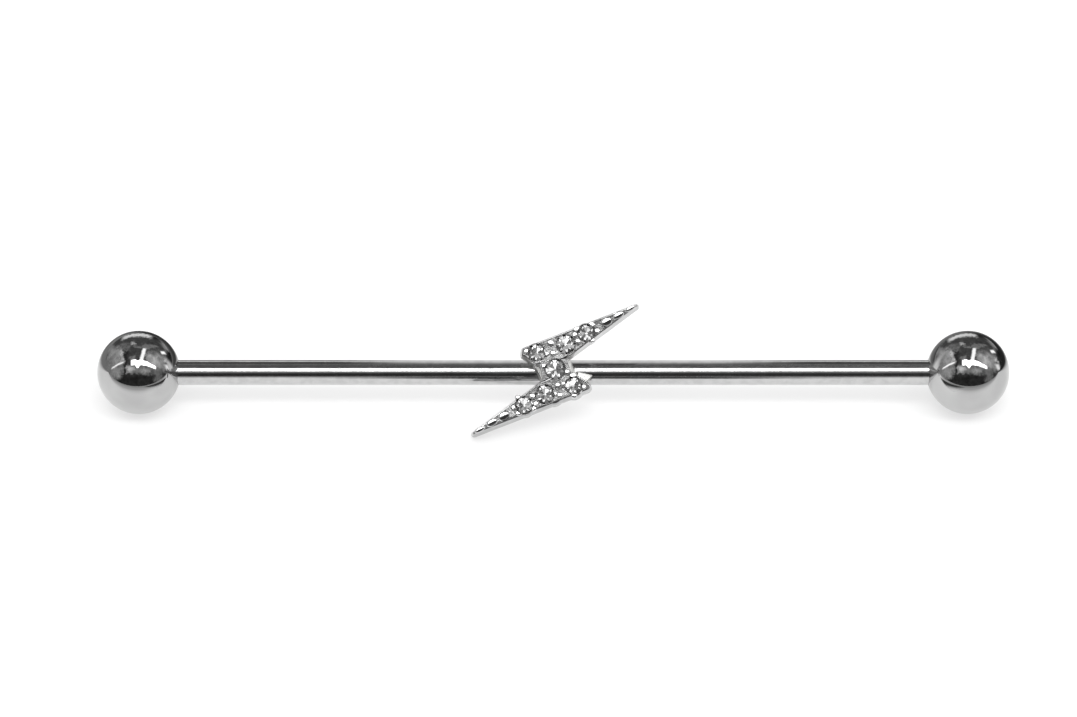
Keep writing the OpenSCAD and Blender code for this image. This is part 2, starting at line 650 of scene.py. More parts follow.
MIRROR = MetalFinish(
    "mirror_polished_steel", grey(0.52), grey(0.45), polish=(0.04, 0.08), grain_mm=0.25, ripple=0.06,
)
DRAWN = MetalFinish(
    "polished_bar_steel", grey(0.58), grey(0.52), polish=(0.13, 0.19), grain_mm=0.05, ripple=0.10,
    drawn=40.0,
)
CAST = MetalFinish(
    "bright_cast_steel", grey(0.48), grey(0.36), polish=(0.05, 0.10), grain_mm=0.08, ripple=0.2,
)
SOLDER = MetalFinish(
    "silver_solder", (0.50, 0.50, 0.49), (0.38, 0.38, 0.37), polish=(0.24, 0.42), grain_mm=0.06, ripple=0.6,
    metallic=0.75,
)
SEAT = MetalFinish(
    "drilled_seat", grey(0.82), grey(0.72), polish=(0.25, 0.45), grain_mm=0.05, ripple=0.3,
)
RECESS = MetalFinish(
    "frosted_cast_steel", grey(0.45), grey(0.22), polish=(0.14, 0.30), grain_mm=0.11, ripple=1.0,
    relief_mm=0.011, metallic=0.85,
)
# Painted highlight: the beads and domes are painted far brighter than the cast steel they are part of, so
# that they read as bright blobs; their polish is a burnished one.
BEAD_PAINTED_HIGHLIGHT = MetalFinish(
    "burnished_bead_steel_painted_highlight", grey(0.80), grey(0.70), polish=(0.05, 0.12), grain_mm=0.08, ripple=0.1,
)
SETTING_SKINS = {
    Skin.CAST: CAST, Skin.SOLDER: SOLDER, Skin.SEAT: SEAT, Skin.RECESS: RECESS, Skin.BEAD_PAINTED_HIGHLIGHT: BEAD_PAINTED_HIGHLIGHT,
}
CLEAR = StoneFinish("clear_cut_stone", 2.15, grey(0.995), (0.96, 0.965, 0.97))
TABLE_TOP = FloorFinish("pale_table_top", grey(0.42), 0.53)


# The barbell


@dataclass(frozen=True)
class Rest:
    """How the barbell lies: turned about its bar until the bolt's lower point touches the ground."""

    turn_deg: float = 46.8198
    bar_y: float = 0.575646
    bar_z: float = 2.0

    def matrix(self) -> Matrix:
        """From the flat drawing in millimetres to the resting place in metres."""
        turn = Matrix.Rotation(math.radians(self.turn_deg), 4, "X")
        return Matrix.Scale(MM, 4) @ (Matrix.Translation((0, self.bar_y, self.bar_z)) @ turn)


REST = Rest()


@dataclass
class Piece:
    """A mesh on its way to become a dressed piece of the barbell.

    Args:
        name: Its name.
        mesh: The mesh in millimetres on the flat drawing.
        body: The body that it rides on.
        stuff: Its material slot; not used.
        nodes: The nodes that it stands for.
    """

    name: str
    mesh: bpy.types.Mesh
    body: Body
    stuff: Stuff
    nodes: tuple[str, ...]

    def place(
        self,
        finishes: Sequence[bpy.types.Material],
        smooth_deg: float,
        skin_of: Callable[[Vector], int] | None = None,
    ) -> bpy.types.Object:
        """Puts the mesh at rest, dresses it and lets it ride on its body.

        Args:
            finishes: The materials.
            smooth_deg: Edges bent by more than this angle stay sharp; nought leaves every facet flat.
            skin_of: Gives the number of the material for a face's middle on the flat drawing.

        Returns:
            The object.
        """
        self.mesh.materials.clear()
        for finish in finishes:
            self.mesh.materials.append(finish)
        if skin_of:
            for polygon in self.mesh.polygons:
                polygon.material_index = skin_of(polygon.center)
        self.mesh.transform(REST.matrix())
        piece = bpy.data.objects.new(self.name, self.mesh)
        bpy.context.scene.collection.objects.link(piece)
        if smooth_deg:
            self.mesh.shade_smooth()
            self.mesh.set_sharp_from_angle(angle=math.radians(smooth_deg))
            weigh = piece.modifiers.new("weighted", "WEIGHTED_NORMAL")
            weigh.keep_sharp = True
        else:
            self.mesh.shade_flat()
        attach(piece, self.body.value)
        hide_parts(*self.nodes)
        return piece


@dataclass(frozen=True)
class Thread:
    """A screw thread along X.

    Args:
        low_r: Radius of its roots.
        high_r: Radius of its crests.
        pitch: Distance from one crest to the next.
        start_x: Where it begins.
        end_x: Where it ends.
        samples: Stations for each turn.
        steepness: How steep its flanks are; one would leave no flats.
    """

    low_r: float
    high_r: float
    pitch: float
    start_x: float
    end_x: float
    samples: int = 14
    steepness: float = 2.0

    def stations(self, segments: int) -> list[Station]:
        """Stations of the thread from its start to its end, running out at both.

        Args:
            segments: Number of segments round the axis.

        Returns:
            Pairs of x and one radius for each segment.
        """
        turn = np.arange(segments) / segments
        count = max(2, int(self.samples * (self.end_x - self.start_x) / self.pitch))
        rows: list[Station] = []
        for k in range(count + 1):
            x = self.start_x + (self.end_x - self.start_x) * k / count
            phase = (x / self.pitch - turn) % 1.0
            tent = 1 - np.abs(2 * phase - 1)
            ridge = np.clip(tent * self.steepness - (self.steepness - 1) / 2, 0, 1)
            ridge = ridge * ridge * (3 - 2 * ridge)
            fade = min(1.0, (x - self.start_x) / self.pitch, (self.end_x - x) / self.pitch)
            rows.append((x, self.low_r + (self.high_r - self.low_r) * ridge * max(fade, 0.0)))
        return rows


@dataclass
class StraightBar:
    """The bar with its film of solder, a shoulder and a threaded post at each end."""

    r: float = 0.60
    shoulder_x: float = 18.15
    chamfer: float = 0.03
    guard: float = 0.04
    fillet: float = 0.03
    post_end_x: float = 20.55
    post_r: float = 0.55
    root_r: float = 0.44
    pitch: float = 0.25
    neck: float = 0.12
    run_out: float = 0.10
    end_chamfer: float = 0.06
    solder_x: float = 0.09
    solder_reach: float = 1.90
    solder_height: float = 0.012
    steps: int = 12
    segments: int = 96

    def half(self, side: Side) -> list[Station]:
        """Stations from beside the middle out to one end.

        Args:
            side: The end to draw.

        Returns:
            Pairs of x and radius, from the middle outwards.
        """
        shoulder, soft, end = self.shoulder_x, self.chamfer * ROUND, self.post_end_x
        thread = Thread(self.root_r, self.post_r, self.pitch, shoulder + self.neck, end - self.run_out)
        rows: list[Station] = [
            (shoulder - self.chamfer - self.guard, self.r),
            (shoulder - self.chamfer, self.r),
            (shoulder - soft, self.r - soft),
            (shoulder, self.r - self.chamfer),
            (shoulder, self.root_r + self.fillet),
            (shoulder + self.fillet, self.root_r),
            *thread.stations(self.segments),
            (end - self.end_chamfer, self.root_r),
            (end, self.root_r - self.end_chamfer),
            (end, 0),
        ]
        if side is Side.LEFT:
            rows = [(-x, np.flip(r) if isinstance(r, np.ndarray) else r) for x, r in rows]
        return rows

    def film(self) -> list[Station]:
        """Stations of the solder that has run along the bar.

        Returns:
            Pairs of x and radius, from left to right.
        """
        rows: list[Station] = []
        for k in range(-self.steps, self.steps + 1):
            share = k / self.steps
            x = self.solder_x + self.solder_reach * share
            rows.append((x, self.r + self.solder_height * 0.5 * (1 + math.cos(math.pi * share))))
        return rows

    def plain(self, start_x: float, end_x: float) -> list[Station]:
        """Evenly spaced stations of the plain bar, both ends left out."""
        return [(start_x + (end_x - start_x) * k / self.steps, self.r) for k in range(1, self.steps)]

    def build(self) -> bpy.types.Object:
        """Builds and dresses the bar.

        Returns:
            The object.
        """
        left_x, right_x = self.solder_x - self.solder_reach, self.solder_x + self.solder_reach
        inner_x = self.shoulder_x - self.chamfer - self.guard
        rows = list(reversed(self.half(Side.LEFT)))
        rows += self.plain(-inner_x, left_x) + self.film() + self.plain(right_x, inner_x)
        rows += self.half(Side.RIGHT)
        mesh = lathe(rows, self.segments).mesh("straight_bar")
        piece = Piece("straight_bar", mesh, Body.BAR, Stuff.STEEL, ("bar_and_bolt",))
        return piece.place([DRAWN.material()], smooth_deg=35)


@dataclass
class ScrewBall:
    """A ball with a mouth for the bar's shoulder and a threaded hole for the post."""

    side: Side
    body: Body
    node: str
    r: float = 2.0
    centre_x: float = 19.9079
    rings: int = 110
    mouth_r: float = 0.63
    lip: float = 0.025
    floor_x: float = 18.18
    floor_edge: float = 0.01
    bore_r: float = 0.565
    bore_edge: float = 0.02
    groove_r: float = 0.60
    bore_end_x: float = 20.65
    run_out: float = 0.05
    pitch: float = 0.25
    segments: int = 192

    def stations(self) -> list[Station]:
        """Stations from the far pole round to the mouth, and down into the hole.

        Returns:
            Pairs of x and radius for the right ball.
        """
        rows: list[Station] = [(self.centre_x + self.r, 0)]
        mouth_angle = math.pi - math.asin((self.mouth_r + self.lip) / self.r)
        for k in range(1, self.rings + 1):
            angle = mouth_angle * k / self.rings
            rows.append((self.centre_x + self.r * math.cos(angle), self.r * math.sin(angle)))
        lip_x, floor, end = rows[-1][0], self.floor_x, self.bore_end_x
        thread = Thread(self.bore_r, self.groove_r, self.pitch, floor + self.run_out, end - self.run_out)
        rows += [
            (lip_x + self.lip * ROUND, self.mouth_r + self.lip * ROUND),
            (lip_x + self.lip, self.mouth_r),
            (floor - self.floor_edge, self.mouth_r),
            (floor, self.mouth_r - self.floor_edge),
            (floor, self.bore_r + self.bore_edge),
            (floor + self.bore_edge, self.bore_r),
            *thread.stations(self.segments),
            (end, self.bore_r - self.run_out),
            (end, 0),
        ]
        return rows

    def build(self) -> bpy.types.Object:
        """Builds and dresses the ball.

        Returns:
            The object.
        """
        shell = lathe(self.stations(), self.segments)
        if self.side is Side.LEFT:
            shell = shell.turned(Matrix.Scale(-1, 3, (1, 0, 0)))
        name = f"screw_ball_{self.side.value}"
        piece = Piece(name, shell.mesh(name), self.body, Stuff.STEEL, (self.node,))
        return piece.place([MIRROR.material()], smooth_deg=35)


@dataclass(frozen=True)
class Stone:
    """A round stone's place on the bolt, its diameter, and how far it is turned in its seat."""

    x: float
    y: float
    d: float
    turn_deg: float


@dataclass
class StoneCutter:
    """Cuts a small round stone from a disc, facet by facet: a table, eight facets above and eight below.

    Shares are of the stone's diameter, heights are from the top of the girdle.
    """

    table: float = 0.56
    crown: float = 0.15
    girdle: float = 0.03
    pavilion: float = 0.42
    facets: int = 8
    blank_sides: int = 48
    weld: float = 1e-4
    touch: float = 1e-7

    def cut(self, stone: Stone) -> Shell:
        """Cuts one stone.

        Args:
            stone: Its size and turn.

        Returns:
            The faceted shell, its girdle's top at the origin.
        """
        r = stone.d / 2
        work = self._blank(r)
        for azimuth, reach, slope, level in self._planes():
            self._grind(work, azimuth, reach * r, slope, level * r)
        bmesh.ops.remove_doubles(work, verts=work.verts[:], dist=self.weld)
        work.transform(Matrix.Rotation(math.radians(stone.turn_deg), 4, "Z"))
        work.verts.index_update()
        points = np.array([list(vert.co) for vert in work.verts])
        faces = [tuple(vert.index for vert in face.verts) for face in work.faces]
        work.free()
        return Shell(points, faces)

    def _blank(self, r: float) -> bmesh.types.BMesh:
        """The disc that a stone of a radius is cut from, twice as high as it is wide."""
        work = bmesh.new()
        sides = self.blank_sides
        angles = [k * 2 * math.pi / sides for k in range(sides)]
        low, high = (
            [work.verts.new((r * math.cos(angle), r * math.sin(angle), z)) for angle in angles]
            for z in (-2 * r, 2 * r)
        )
        work.faces.new(list(reversed(low)))
        work.faces.new(high)
        for i in range(sides):
            j = (i + 1) % sides
            work.faces.new((low[i], low[j], high[j], high[i]))
        return work

    def _planes(self) -> list[tuple[float, float, float, float]]:
        """Every facet as azimuth, reach, slope and level.

        Returns:
            Rows where the facet's plane is z = level + (reach - r cos) * slope, in shares of the radius.
        """
        top, low = self.crown * 2, -self.girdle * 2
        rows = [(0.0, 0.0, 0.0, top)]
        for i in range(self.facets):
            turn = i * 2 * math.pi / self.facets
            rows.append((turn, 1.0, top / (1 - self.table), 0.0))
            rows.append((turn, 1.0, -self.pavilion * 2, low))
        return rows

    def _grind(
        self, work: bmesh.types.BMesh, azimuth: float, reach: float, slope: float, level: float
    ) -> None:
        """Grinds one flat facet.

        Args:
            work: The stone so far.
            azimuth: Direction that the facet looks in, round the stone's axis.
            reach: Distance from the axis at which the facet is at its level.
            slope: Fall of the facet for each unit outwards; below nought it is on the pavilion.
            level: Height of the facet at its reach.
        """
        up = 1.0 if slope >= 0 else -1.0
        cos, sin = math.cos(azimuth), math.sin(azimuth)
        normal = Vector((cos * abs(slope), sin * abs(slope), up))
        point = Vector((cos * reach, sin * reach, level))
        everything = work.verts[:] + work.edges[:] + work.faces[:]
        bmesh.ops.bisect_plane(
            work, geom=everything, dist=self.touch, plane_co=point, plane_no=normal, clear_outer=True
        )
        rim = [edge for edge in work.edges if edge.is_boundary]
        if rim:
            bmesh.ops.contextual_create(work, geom=rim)


@dataclass(frozen=True)
class Mound:
    """A raised oval with steep sides and a top of two worn slopes that meet in a soft ridge.

    Args:
        place: Its middle.
        half: Half its length and half its width.
        height: Height of the ridge above the face that it stands on.
        turn: How far it is turned, in radians.
        ridge: Where the ridge runs across its width, from the middle.
        slopes_deg: Fall of the slope behind the ridge and of the one before it.
        sides: Number of its sides.
        first_side: Where the first side begins, as a share of a side.
        roundness: Power that squares its oval a little where it is below one.
        ridge_soft: Softness of the ridge, as a share of half its width.
        foot: Height at its outer edge, as a share of its top's.
        reaches: Reach of each ring from the outer edge in, as a share of its half sizes.
        shoulder: Power that keeps its top level nearly to the edge.
    """

    place: Place
    half: Place
    height: float
    turn: float
    ridge: float
    slopes_deg: Place
    sides: int = 40
    first_side: float = 0.21
    roundness: float = 0.88
    ridge_soft: float = 0.15
    foot: float = 0.35
    reaches: tuple[float, ...] = (0.975, 0.93, 0.87, 0.78, 0.64, 0.48, 0.32, 0.16, 0.04)
    shoulder: int = 8

    def shell(self, top: float, root: float) -> Shell:
        """Raises the mound.

        Args:
            top: Height of the face that it stands on.
            root: How far it goes down into the metal below that face.

        Returns:
            The closed shell.
        """
        angles = (np.arange(self.sides) + self.first_side) * 2 * math.pi / self.sides
        waves = (np.cos(angles), np.sin(angles))
        cos, sin = (np.sign(wave) * np.abs(wave) ** self.roundness for wave in waves)
        rings = [self._ring(cos, sin, 1.0, np.full(self.sides, top - root))]
        for reach in (1.0, *self.reaches):
            fall = self.foot if reach == 1.0 else (1 - reach ** self.shoulder) ** 0.5
            rings.append(self._ring(cos, sin, reach, top + self._roof(self.half[1] * reach * sin) * fall))
        return loft(rings)

    def _roof(self, v: np.ndarray) -> np.ndarray:
        """Height of the two slopes at places across the width, from the middle."""
        lit, shaded = (math.tan(math.radians(angle)) for angle in self.slopes_deg)
        soft = self.half[1] * self.ridge_soft
        w = v - self.ridge
        bend = np.sqrt(w * w + soft * soft) - soft
        return self.height - (lit + shaded) / 2 * bend - (lit - shaded) / 2 * w

    def _ring(self, cos: np.ndarray, sin: np.ndarray, reach: float, z: np.ndarray) -> np.ndarray:
        """The oval's points at a share of its half sizes and at given heights."""
        u, v = self.half[0] * reach * cos, self.half[1] * reach * sin
        x = self.place[0] + u * math.cos(self.turn) - v * math.sin(self.turn)
        y = self.place[1] + u * math.sin(self.turn) + v * math.cos(self.turn)
        return np.stack([x, y, z], axis=1)


@dataclass
class BoltSetting:
    """The lightning bolt: two limbs, a waist, seats, bead prongs, domes and the solder behind it.

    The bolt is nearly the same turned half round, so tables named half hold its upper half.
    """

    # Its place on the bar, its thickness and its walls.
    shift: float = 0.09
    rise: float = 0.05
    back: float = 0.45
    thick: float = 1.0
    draft: float = 0.105
    edge: float = 0.035
    edge_ease: float = 0.002
    edge_end: Place = (0.08, 0.62)
    limb_corners: tuple[Corner, ...] = (
        Corner(3.88, 3.06, 0.05), Corner(-1.47, 0.93, 0.09), Corner(-1.50, 0.73, 0.09),
        Corner(-0.66, 0.16, 0.09), Corner(0.70, 0.74, 0.09),
    )
    waist_side: tuple[Place, Place] = ((-0.70, 0.14), (-0.58, -0.52))
    waist_share: float = 0.96
    waist_r: float = 0.03

    # The floor sunk inside the rim of its face.
    recess_depth: float = 0.06
    recess_inset: float = 0.055
    recess_flare: float = 0.03
    recess_bend: float = 0.6
    recess_above: Place = (0.01, 0.4)
    recess_point: Corner = Corner(3.25, 2.69, 0.09)
    recess_waist_r: float = 0.10

    # The solder between it and the bar, and the drop of solder beside its lower limb.
    pad_foot: tuple[Place, Place] = ((-1.52, 0.58), (-0.76, -0.58))
    pad_top: tuple[Place, Place] = ((-1.10, 0.42), (-0.66, -0.46))
    pad_low_z: float = 0.08
    pad_high_z: float = 1.25
    pad_share: float = 0.94
    pad_r: float = 0.04
    pad_steps: int = 8
    pad_hollow: float = 1.5
    solder_half: Place = (1.85, 0.64)
    solder_top: float = 1.26
    drop: tuple[Corner, ...] = (
        Corner(1.10, -0.10, 0.03), Corner(1.10, -0.54, 0.03), Corner(1.46, -0.54, 0.03),
        Corner(1.74, -0.26, 0.03),
    )
    drop_foot: Level = (0.14, 0.02)
    drop_levels: tuple[Level, ...] = (
        (0.36, 0.03), (0.54, 0.02), (0.62, 0.005), (0.66, -0.012), (0.68, -0.027),
    )
    drop_slope_deg: float = 4.6

    # The stones, their seats and the round walls; depths of a seat are shares of its stone's diameter.
    stones: tuple[Stone, ...] = (
        Stone(1.49, 1.74, 0.85, 9), Stone(0.50, 1.20, 0.93, 31), Stone(-0.88, 0.79, 0.85, 17),
        Stone(0.0, 0.0, 1.00, 4), Stone(0.88, -0.79, 0.85, 38), Stone(-0.50, -1.20, 0.93, 14),
        Stone(-1.49, -1.74, 0.85, 25),
    )
    sink: float = 0.03
    gap: float = 0.02
    rim: float = 0.03
    seat_depth: float = 0.45
    seat_girdle: float = 0.03
    seat_bright: float = 0.48
    seat_tip: float = 1.5
    seat_above: float = 0.3
    lobes: tuple[Triple, ...] = ((-0.10, -1.22, 0.44), (0.88, -0.93, 0.40), (1.50, -0.84, 0.16))
    disc_sides: int = 64
    disc_start: float = 0.37
    disc_least_r: float = 0.001

    # The beads and domes; each bead has a turn and a slope in degrees from the looks, which repeat.
    half_beads: tuple[Place, ...] = (
        (2.00, 1.84), (1.75, 2.12), (1.78, 1.39), (1.03, 1.90), (1.08, 1.31), (0.93, 1.65), (-0.22, 1.25),
        (-0.42, 0.74), (-0.11, 0.76), (-0.84, 0.31), (-0.54, 0.15), (-1.36, 0.85), (-1.12, 1.02),
    )
    low_beads: tuple[Place, ...] = ((0.90, -1.28), (-0.03, -1.20))
    bead_r: float = 0.15
    bead_width: float = 0.9
    bead_stretch: float = 0.22
    bead_rhythm: float = 2.3
    bead_ridge: float = -0.4
    bead_height: float = 0.11
    bead_root: float = 0.015
    bead_looks: tuple[Place, ...] = (
        (4, 8.5), (-14, 4.5), (22, 10.5), (10, 7.0), (-6, 3.0), (30, 9.0), (-20, 5.5), (16, 12.0), (0, 8.0),
        (24, 2.0), (-10, 9.5),
    )
    half_domes: tuple[tuple[float, float, float, float], ...] = (
        (2.45, 2.26, 0.60, 0.225), (3.02, 2.57, 0.60, 0.165), (3.60, 2.905, 0.58, 0.110),
    )
    dome_gap: float = 0.012
    dome_height: float = 0.10
    dome_fall: float = 0.015
    slopes_deg: Place = (8.5, 24.0)

    # Nudges in height that keep flat faces of joined or cut shells out of one plane.
    lower_nudge: float = 0.0003
    waist_nudge: float = -0.0005
    wall_nudges: Place = (0.011, -0.0007)
    recess_nudges: Place = (0.0005, -0.0003)

    @property
    def face(self) -> float:
        """Height of the bolt's face above the bar's axis."""
        return self.back + self.thick

    def _levels(self) -> list[Level]:
        """Heights and spreads of a wall from the back up to the face, its two edges rounded.

        Returns:
            Pairs of z and spread.
        """
        e = self.edge
        return [
            (self.back, self.draft - e),
            (self.back + e * ROUND, self.draft - e * ROUND),
            (self.back + e, self.draft),
            (self.face - e, self.draft * e / self.thick),
            (self.face - e * ROUND, -e * ROUND + self.edge_ease),
            (self.face - e * self.edge_end[0], -e * self.edge_end[1]),
            (self.face, -e),
        ]

    def limb(self) -> Shell:
        """The upper limb as a plate with drafted walls."""
        return Outline(self.limb_corners).plate(self._levels())

    @staticmethod
    def _four(side: Sequence[Place], share: float, r: float) -> Outline:
        """A four-cornered outline from one side and the same side turned half round.

        Args:
            side: The two corners of the side.
            share: Size of the outline's corner centres against the side's.
            r: Radius of the corners.

        Returns:
            The outline.
        """
        places = (*side, *((-x, -y) for x, y in side))
        return Outline(tuple(Corner(x * share, y * share, r) for x, y in places), steps=5)

    def waist(self) -> Shell:
        """The narrow part between the limbs."""
        return self._four(self.waist_side, self.waist_share, self.waist_r).plate(self._levels())

    def pad(self) -> Shell:
        """The solder that joins the bolt to the bar, hollowed towards the bar like any solder."""
        rings = []
        for k in range(self.pad_steps + 1):
            share = k / self.pad_steps
            pull = 1 - (1 - share) ** self.pad_hollow
            side = tuple(
                (foot[0] + (top[0] - foot[0]) * pull, foot[1] + (top[1] - foot[1]) * pull)
                for foot, top in zip(self.pad_foot, self.pad_top)
            )
            z = self.pad_low_z + (self.pad_high_z - self.pad_low_z) * share
            rings.append(self._four(side, self.pad_share, self.pad_r).ring(z, 0.0))
        return loft(rings)

    def solder_drop(self) -> Shell:
        """The pointed drop of solder that shows beside the lower limb, its top worn to a slope."""
        outline = Outline(self.drop, steps=5)
        rings = [outline.ring(z, spread) for z, spread in self.drop_levels]
        for ring in rings:
            ring[:, 2] -= math.tan(math.radians(self.drop_slope_deg)) * (ring[:, 1] - self.drop[-1].y)
        return loft([outline.ring(*self.drop_foot), *rings])

    def _disc(self, x: float, y: float, r: float, levels: Sequence[Level]) -> Shell:
        """A round loft.

        Args:
            x: Its middle along the bar.
            y: Its middle up the face.
            r: Radius at no spread.
            levels: Pairs of z and spread.

        Returns:
            The closed shell.
        """
        angles = (np.arange(self.disc_sides) + self.disc_start) * 2 * math.pi / self.disc_sides
        rings = []
        for z, spread in levels:
            reach = max(r + spread, self.disc_least_r)
            across, up = x + reach * np.cos(angles), y + reach * np.sin(angles)
            rings.append(np.stack([across, up, np.full(self.disc_sides, z)], axis=1))
        return loft(rings)

    def seat_wall(self, x: float, y: float, r: float) -> Shell:
        """A round wall of metal, as behind each stone and where the edge is scalloped."""
        middle = self.face - self.thick / 2
        low, high = self.wall_nudges
        levels = [(z + (low if z < middle else high), spread) for z, spread in self._levels()]
        return self._disc(x, y, r, levels)

    def seat_space(self, stone: Stone) -> Shell:
        """The space cut out for a stone."""
        d, r = stone.d, stone.d / 2 + self.gap
        top = self.face - self.sink
        levels = [
            (top - d * self.seat_depth - self.gap * self.seat_tip, -r),
            (top - d * self.seat_girdle - self.gap / 2, 0.0),
            (top + self.gap / 2, 0.0),
            (top + self.seat_above, 0.0),
        ]
        return self._disc(stone.x, stone.y, r, levels)

    def recess_cuts(self) -> list[Shell]:
        """The shallow floor sunk inside the rim of the face, as one cut for each part."""
        inset, flare = self.recess_inset, self.recess_flare
        levels = [
            (self.face - self.recess_depth, -inset),
            (self.face - flare * self.recess_bend, -inset),
            *((self.face + above, flare - inset) for above in self.recess_above),
        ]
        lower_nudge, waist_nudge = self.recess_nudges
        plate = Outline((self.recess_point, *self.limb_corners[1:])).plate(levels)
        waist = self._four(self.waist_side, self.waist_share, self.recess_waist_r)
        nudged = [(z + waist_nudge, spread) for z, spread in levels]
        return [plate, plate.half_turned().moved(0, 0, lower_nudge), waist.plate(nudged)]

    def _beads(self) -> list[Mound]:
        """The bead prongs, each turned, stretched and worn a little otherwise than the next."""
        r = self.bead_r
        places = [*self.half_beads, *((-x, -y) for x, y in self.half_beads), *self.low_beads]
        beads = []
        for number, place in enumerate(places):
            turn_deg, lit_deg = self.bead_looks[number % len(self.bead_looks)]
            length = r * (1.0 + self.bead_stretch * math.sin(self.bead_rhythm * number))
            half = (length, r * self.bead_width)
            turn, slopes = math.radians(turn_deg), (lit_deg, self.slopes_deg[1])
            beads.append(Mound(place, half, self.bead_height, turn, self.bead_ridge * r, slopes))
        return beads

    def _domes(self) -> list[Mound]:
        """The domes in line on both points, each lower than the one before."""
        first, last = self.half_domes[0], self.half_domes[-1]
        turn = math.atan2(last[1] - first[1], last[0] - first[0])
        domes = []
        for sign in (1, -1):
            for number, (x, y, length, width) in enumerate(self.half_domes):
                half = (length / 2 - self.dome_gap, width)
                height = self.dome_height - self.dome_fall * number
                domes.append(Mound((sign * x, sign * y), half, height, turn, 0.0, self.slopes_deg))
        return domes

    def raised(self) -> Shell:
        """All bead prongs and domes, rooted a little below the recess."""
        root = self.recess_depth + self.bead_root
        mounds = self._beads() + self._domes()
        return Shell.together([mound.shell(self.face, root) for mound in mounds])

    def metal(self) -> bpy.types.Mesh:
        """Joins and cuts the whole setting.

        Returns:
            Its mesh in millimetres.
        """
        lower = self.limb().half_turned().moved(0, 0, self.lower_nudge)
        waist = self.waist().moved(0, 0, self.waist_nudge)
        walls = [self.seat_wall(stone.x, stone.y, stone.d / 2 + self.rim) for stone in self.stones]
        walls += [self.seat_wall(*lobe) for lobe in self.lobes]
        seats = [self.seat_space(stone) for stone in self.stones]
        carver = Carver(self.limb())
        carver.take(Cut.JOIN, [lower, waist, self.pad(), self.solder_drop(), *walls])
        carver.take(Cut.REMOVE, self.recess_cuts() + seats)
        carver.take(Cut.JOIN, [self.raised()])
        carver.take(Cut.REMOVE, seats)
        return carver.finish("bolt_setting")

    def _skin_of(self, centre: Vector) -> int:
        """Chooses the finish of a face.

        Args:
            centre: The face's middle on the flat drawing.

        Returns:
            The number of the finish.
        """
        x, y, z = centre - Vector((self.shift, self.rise, 0))
        recess_z, near_wall = self.face - self.recess_depth, 2 * CLOSE
        if abs(z - recess_z) < CLOSE:
            return Skin.RECESS
        # Faces above the face, the beads and domes, take the bead finish with its painted highlight.
        if z > self.face + CLOSE:
            return Skin.BEAD_PAINTED_HIGHLIGHT
        if z >= recess_z - near_wall:
            return Skin.CAST
        for stone in self.stones:
            in_seat = math.hypot(x - stone.x, y - stone.y) < stone.d / 2 + self.gap + near_wall
            if in_seat and z > self.face - self.sink - stone.d * self.seat_bright:
                return Skin.SEAT
        if abs(x) < self.solder_half[0] and abs(y) < self.solder_half[1] and z < self.solder_top:
            return Skin.SOLDER
        return Skin.CAST

    def build(self) -> bpy.types.Object:
        """Builds and dresses the setting.

        Returns:
            The object.
        """
        mesh = self.metal()
        mesh.transform(Matrix.Translation((self.shift, self.rise, 0)))
        piece = Piece("bolt_setting", mesh, Body.BAR, Stuff.STEEL, ("bar_and_bolt",))
        finishes = [SETTING_SKINS[skin].material() for skin in Skin]
        return piece.place(finishes, smooth_deg=30, skin_of=self._skin_of)

    def build_stones(self) -> list[bpy.types.Object]:
        """Cuts the seven stones and puts them in their seats.

        Returns:
            The objects, in the order of the stones.
        """
        cutter = StoneCutter()
        finish = CLEAR.material()
        pieces = []
        for number, stone in enumerate(self.stones, start=1):
            shell = cutter.cut(stone)
            shell = shell.moved(stone.x + self.shift, stone.y + self.rise, self.face - self.sink)
            name = f"cut_stone_{number}"
            piece = Piece(name, shell.mesh(name), Body.BAR, Stuff.STONE, (f"stone_{number}",))
            pieces.append(piece.place([finish], smooth_deg=0))
        return pieces


# The studio


@dataclass(frozen=True)
class Card:
    """A soft-edged patch of the room, placed by where a mirror ball would show it.

    Args:
        left: Left edge on a ball of radius one, seen from the front.
        right: Right edge.
        low: Lower edge.
        high: Upper edge.
        glow: Brightness.
        soft: Width of its soft edges.
        slant: How far it leans to the right for each unit up.
    """

    left: float
    right: float
    low: float
    high: float
    glow: float
    soft: float
    slant: float = 0.0


@dataclass(frozen=True)
class Arch:
    """A bright tube of light in the room that a mirror ball shows as an arch.

    Args:
        left: Left end on a ball of radius one, seen from the front.
        right: Right end.
        low: Lower edge at the middle of the ball.
        high: Upper edge at the middle of the ball.
        glow: Brightness.
        taper: How much thinner it is at the right end.
        sag: How far its lower edge sags at the middle of the ball.
        bend: How far it drops for the square of the distance from the middle.
        taper_from: Where it begins to grow thinner.
        soft: Width of its soft edges.
        end_soft: Width of its soft ends.
    """

    left: float
    right: float
    low: float
    high: float
    glow: float
    taper: float = 0.0
    sag: float = 0.0
    bend: float = 0.55
    taper_from: float = 0.05
    soft: float = 0.012
    end_soft: float = 0.03


@dataclass(frozen=True)
class Wander:
    """How quickly places wander about in the room, and how far they would at most."""

    scale: float
    reach: float


